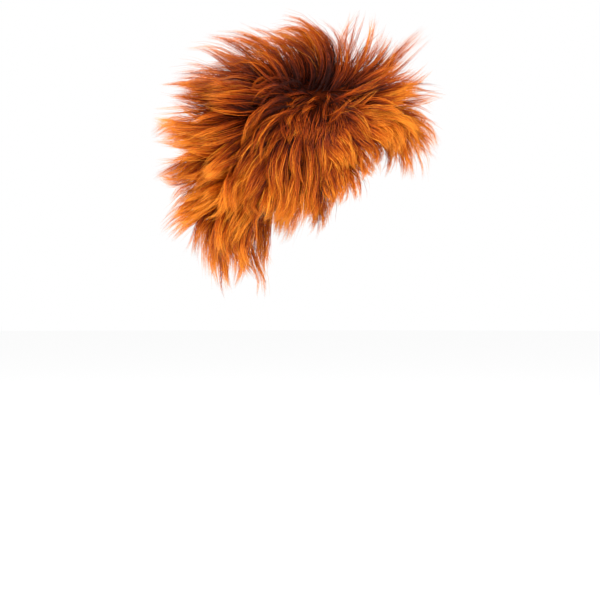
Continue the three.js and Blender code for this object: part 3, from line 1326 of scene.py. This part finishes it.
        middle, across, face = follow(wisps.points), follow(wisps.across), follow(wisps.face)
        angle = rng.uniform(0, 2 * math.pi, (total, 1))
        radius = np.sqrt(rng.random((total, 1))) * self.spread
        stray = rng.random((total, 1)) < self.stray
        gather = np.where(stray, 1 + habit.strays * share, 1 - habit.gathers * share**habit.gather_curve)
        u, v = (radius * np.cos(angle))[..., None], (radius * np.sin(angle))[..., None]
        normal = wisps.normal[whose][:, None]
        first = unit(np.cross(normal, [0.0, 0.3, 1.0]))
        second = np.cross(normal, first)
        settled = smoothstep(share, 0.0, habit.settles_by)[..., None]
        loose = (u * across + habit.flatness * v * face) * gather[..., None]
        points = middle + (u * first + v * second) * (1 - settled) + loose * settled
        points = points + across * ripple() + face * ripple()
        points = self.outline.head.clear(points, self.outline.wall + habit.clearance)
        tone = wisps.tone[whose] + rng.normal(0, habit.tone, total)
        return points, face, tone, self.thickness * rng.uniform(*habit.thicknesses, total)

    def build(self, name: str) -> bpy.types.Object:
        """Builds the section's strands as one mesh.

        Args:
            name: the piece's name.

        Returns:
            The piece.
        """
        return strand_mesh(name, *self.strand_lines(self.grow()))


@dataclass
class CombedLayer:
    """The hair that lies over the dense layer and hides it, combed the way that the wisps above it go."""

    outline: CapOutline
    dense: DenseHair
    count: int
    rings: int = 5
    length: float = 0.046
    thickness: float = 0.00075
    until: float = 0.93
    root_jitter: float = 3.0
    spare: float = 1.9
    sunk: float = 0.002
    patches: int = 5
    patch_pace: float = 16.0
    swirl: float = 9.0
    lengths: Span = (0.6, 1.1)
    thicknesses: Span = (0.7, 1.2)
    rises: Span = (0.0005, 0.0035)
    rise_gain: float = 1.6
    settle: float = 0.7
    droop: float = 0.4
    # shade darkens the whole layer, as painted shade under the wisps
    shade: float = 1.1
    patch_tone: float = 0.2
    tone_scatter: float = 0.4
    seed: int = SEED + 10

    def build(self, name: str) -> bpy.types.Object:
        """Builds the layer as one mesh.

        Args:
            name: the piece's name.

        Returns:
            The piece.
        """
        rng = np.random.default_rng(self.seed)
        number = int(self.count * self.spare)
        direction = spread_over(self.outline, number, self.until, self.root_jitter, rng)
        keep = np.sort(rng.permutation(len(direction))[: self.count])
        direction = direction[keep]
        lift = self.dense.height(direction) - rng.uniform(0.0, self.sunk, len(direction))
        point, normal = self.outline.head.scalp(direction, lift[:, None])
        way = self._combing(direction)
        line = [point]
        face = []
        count = len(point)
        paces = rng.normal(0, self.patch_pace, (3, self.patches))
        patch = np.sin(direction @ paces + rng.uniform(0, 6, self.patches)).sum(-1)
        turn = np.radians(self.swirl * patch + rng.normal(0, self.swirl, count))
        way = way * np.cos(turn)[:, None] + np.cross(normal, way) * np.sin(turn)[:, None]
        step = (self.length * rng.uniform(*self.lengths, count) / (self.rings - 1))[:, None]
        rise = rng.uniform(*self.rises, count)
        for ring in range(1, self.rings):
            middle = line[-1] + self.outline.head.centre
            direction = unit(middle + way * step)
            lift = self.dense.height(direction) + rise * ring / (self.rings - 1) * self.rise_gain
            point, normal = self.outline.head.scalp(direction, lift[:, None])
            face.append(normal)
            way = unit(point - line[-1])
            line.append(point)
        face.append(normal)
        # painted shade under the wisps, with patches and scatter as the strands' own differences
        tone = self.patch_tone * patch - self.shade + rng.normal(0, self.tone_scatter, count)
        thickness = self.thickness * rng.uniform(*self.thicknesses, count)
        return strand_mesh(name, np.stack(line, 1), np.stack(face, 1), tone, thickness)

    def _combing(self, direction: Array) -> Array:
        """The way that the layer is combed at each root, along the head.

        Args:
            direction: from the head's middle to the roots.

        Returns:
            Unit vectors.
        """
        pitch, side = pitch_and_side(direction)
        still = np.zeros((len(pitch), STEPS + 1))
        ways, _ = Combing().grow(pitch, side, still, still, still + self.settle, still[:, 0])
        way = ways[:, STEPS * 5 // 8] - np.array([0.0, 0.0, self.droop])
        _, normal = self.outline.head.scalp(direction, 0.0)
        return unit(way - normal * np.sum(way * normal, -1, keepdims=True))


# a strand's shape and its patch of the map
ROOT_SHARE = 0.75  # a strand's thickness at its root, as a share of its full one
FULL_AT = 0.15  # where along its length a strand is first at its full thickness
MAP_MARGIN = 0.08  # the space round each strand's patch of the map
CAP_ROOM = 0.8  # the space below the patch for the face that closes the root


def strand_mesh(name: str, points: Array, face: Array, tone: Array, thickness: Array) -> bpy.types.Object:
    """Joins strands into one mesh. Each is a closed three-sided tube that ends in a point.

    Args:
        name: the piece's name.
        points: the strands' lines, root first.
        face: a direction across each line at each point.
        tone: how light each strand is.
        thickness: how thick each strand is.

    Returns:
        The piece.
    """
    total, rings, _ = points.shape
    along = unit(np.gradient(points, axis=1))
    side = unit(np.cross(along, face))
    up = np.cross(side, along)
    share = np.linspace(0, 1, rings)
    taper = (ROOT_SHARE + (1 - ROOT_SHARE) * np.minimum(share / FULL_AT, 1)) * (1 - share**3)
    radius = thickness[:, None] / 2 * taper[None, :]
    turns = np.arange(3) * 2 * math.pi / 3
    ring = (
        points[:, :-1, None]
        + side[:, :-1, None] * (radius[:, :-1, None] * np.cos(turns))[..., None]
        + up[:, :-1, None] * (radius[:, :-1, None] * np.sin(turns))[..., None]
    )
    verts = np.concatenate([ring.reshape(total, -1, 3), points[:, -1:]], 1)
    per = verts.shape[1]
    faces, cells = [], []
    for k in range(rings - 2):
        for j in range(3):
            a, b, c, d = 3 * k + j, 3 * k + (j + 1) % 3, 3 * k + 3 + (j + 1) % 3, 3 * k + 3 + j
            faces += [(a, b, c), (a, c, d)]
            cells += [((j, k), (j + 1, k), (j + 1, k + 1)), ((j, k), (j + 1, k + 1), (j, k + 1))]
    top = 3 * (rings - 2)
    for j in range(3):
        faces.append((top + j, top + (j + 1) % 3, per - 1))
        cells.append(((j, rings - 2), (j + 1, rings - 2), (j + 0.5, rings - 1)))
    faces.append((2, 1, 0))
    cells.append(((0.2, -0.1), (2.8, -0.1), (1.5, -0.6)))
    template = np.array(faces)
    index = (template[None] + per * np.arange(total)[:, None, None]).reshape(-1, 3)
    mesh = bpy.data.meshes.new(name)
    mesh.from_pydata(verts.reshape(-1, 3), [], index)
    cell = (np.array(cells, float) + [0, CAP_ROOM]) / [3, rings] * (1 - 2 * MAP_MARGIN) + MAP_MARGIN
    wide = math.ceil(math.sqrt(total))
    corner = np.stack([np.arange(total) % wide, np.arange(total) // wide], -1)
    uv = (cell[None] + corner[:, None, None]) / wide
    mesh.uv_layers.new(name="OFBake").data.foreach_set("uv", uv.ravel())
    place = np.append(np.repeat(share[:-1], 3), 1.0)
    for label, values in (("along", np.tile(place, total)), ("tone", np.repeat(tone, per))):
        mesh.attributes.new(label, "FLOAT", "POINT").data.foreach_set("value", values)
    mesh.polygons.foreach_set("use_smooth", np.ones(len(mesh.polygons), bool))
    mesh.update()
    return placed(mesh, name)


@dataclass
class Hair:
    """All the hair of the wig."""

    outline: CapOutline

    def sections(self) -> list[tuple[str, HairSection]]:
        """The wig's sections, each with its own number of wisps and its own liveliness.

        Returns:
            The pieces' names and sections.
        """
        head = self.outline
        # The sections' tones paint light and shade: the crest darker, as painted shade, and the fringe, back
        # and nape lighter, as painted light.
        crest = HairSection(
            Zone.CREST,
            head,
            480,
            rings=7,
            heading_scatter=8,
            lean_scatter=5.5,
            wave=6,
            flick=12,
            shortest=0.82,
            longest=1.3,
            gather=0.92,
            stray=0.16,
            tone=-0.35,
        )
        return [
            ("crest_hair", crest),
            ("fringe_hair", HairSection(Zone.FRINGE, head, 270, shortest=0.75, longest=1.12, tone=0.5)),
            ("back_flicks", HairSection(Zone.BACK, head, 400, longest=1.16, tone=0.7)),
            ("nape_flicks", HairSection(Zone.NAPE, head, 240, strands=13, longest=1.15, tone=0.9)),
            ("right_side_locks", HairSection(Zone.RIGHT, head, 480, shortest=0.76, longest=1.06, tone=0.2)),
            ("left_side_locks", HairSection(Zone.LEFT, head, 480, shortest=0.76, longest=1.06, tone=0.2)),
        ]

    def build(self) -> list[bpy.types.Object]:
        """Builds and dresses the hair.

        Returns:
            The pieces.
        """
        fibre = HairDyeShadeAndGlow().make()
        made = []
        for name, section in self.sections():
            piece = section.build(name)
            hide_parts(section.zone.value)
            made.append(piece)
        combed = CombedLayer(self.outline, DenseHair(self.outline), 5900)
        made.append(combed.build("combed_under_hair"))
        for piece in made:
            piece.data.materials.append(fibre)
            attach(piece, BODY)
            log.info("%s: %d triangles", piece.name, len(piece.data.polygons))
        return made


# the studio


@dataclass(frozen=True)
class Lamp:
    """A soft area light that looks at the wig."""

    name: str
    place: Place
    size: float
    power: float


@dataclass
class Studio:
    """A plain pale floor, soft light and the camera at the photograph's angle."""

    floor_height: float = -0.537
    floor_radius: float = 14.0
    aim: Place = (0.0, 0.0, -0.06)
    camera_place: Place = (-0.006, -1.8, -0.232)
    lens: float = 94.0
    lamps: tuple[Lamp, ...] = (
        Lamp("key", (-1.3, -1.6, 0.7), 1.2, 62),
        Lamp("fill", (1.6, -1.2, 0.1), 1.4, 26),
        Lamp("back", (0.3, 1.6, 1.4), 1.4, 36),
    )

    def build(self) -> None:
        """Builds the studio."""
        bm = bmesh.new()
        bmesh.ops.create_circle(bm, cap_ends=True, segments=96, radius=self.floor_radius)
        bmesh.ops.translate(bm, verts=bm.verts, vec=(0, 0, self.floor_height))
        floor = finish_mesh(bm, "floor")
        shader = Shader("pale_floor")
        finish = shader.finish(Base_Color=srgb("fbfbfb"), Roughness=1.0, Specular_IOR_Level=0.0)
        floor.data.materials.append(finish)
        for lamp in self.lamps:
            light = bpy.data.lights.new(lamp.name, "AREA")
            light.energy, light.size = lamp.power, lamp.size
            holder = placed(light, lamp.name)
            holder.location = lamp.place
            holder.rotation_euler = look(np.array(self.aim) - np.array(lamp.place))
        world = bpy.data.worlds.new("studio")
        world.use_nodes = True
        world.node_tree.nodes["Background"].inputs[0].default_value = (1, 1, 1, 1)
        world.node_tree.nodes["Background"].inputs[1].default_value = 1.0
        bpy.context.scene.world = world
        bpy.context.scene.view_settings.view_transform = "Standard"
        camera = placed(bpy.data.cameras.new("camera"), "camera")
        camera.data.lens = self.lens
        camera.location = self.camera_place
        camera.rotation_euler = (math.pi / 2, 0, 0)
        bpy.context.scene.camera = camera


def look(way: Array) -> Place:
    """The turn of a lamp that shines along a direction."""
    flat = math.hypot(way[0], way[1])
    return (math.atan2(flat, -way[2]), 0.0, math.atan2(way[1], way[0]) - math.pi / 2)


def main() -> None:
    """Builds the wig and its studio, piece by piece."""
    logging.basicConfig(level=logging.INFO, format="%(name)s: %(message)s")
    outline = CapOutline()
    cap = Cap(outline).build()
    log.info("%s: %d faces", cap.name, len(cap.data.polygons))
    dense = DenseHair(outline).build()
    log.info("%s: %d faces", dense.name, len(dense.data.polygons))
    pieces = Hair(outline).build()
    log.info("hair: %d pieces", len(pieces))
    Studio().build()


if __name__ == "__main__":
    main()
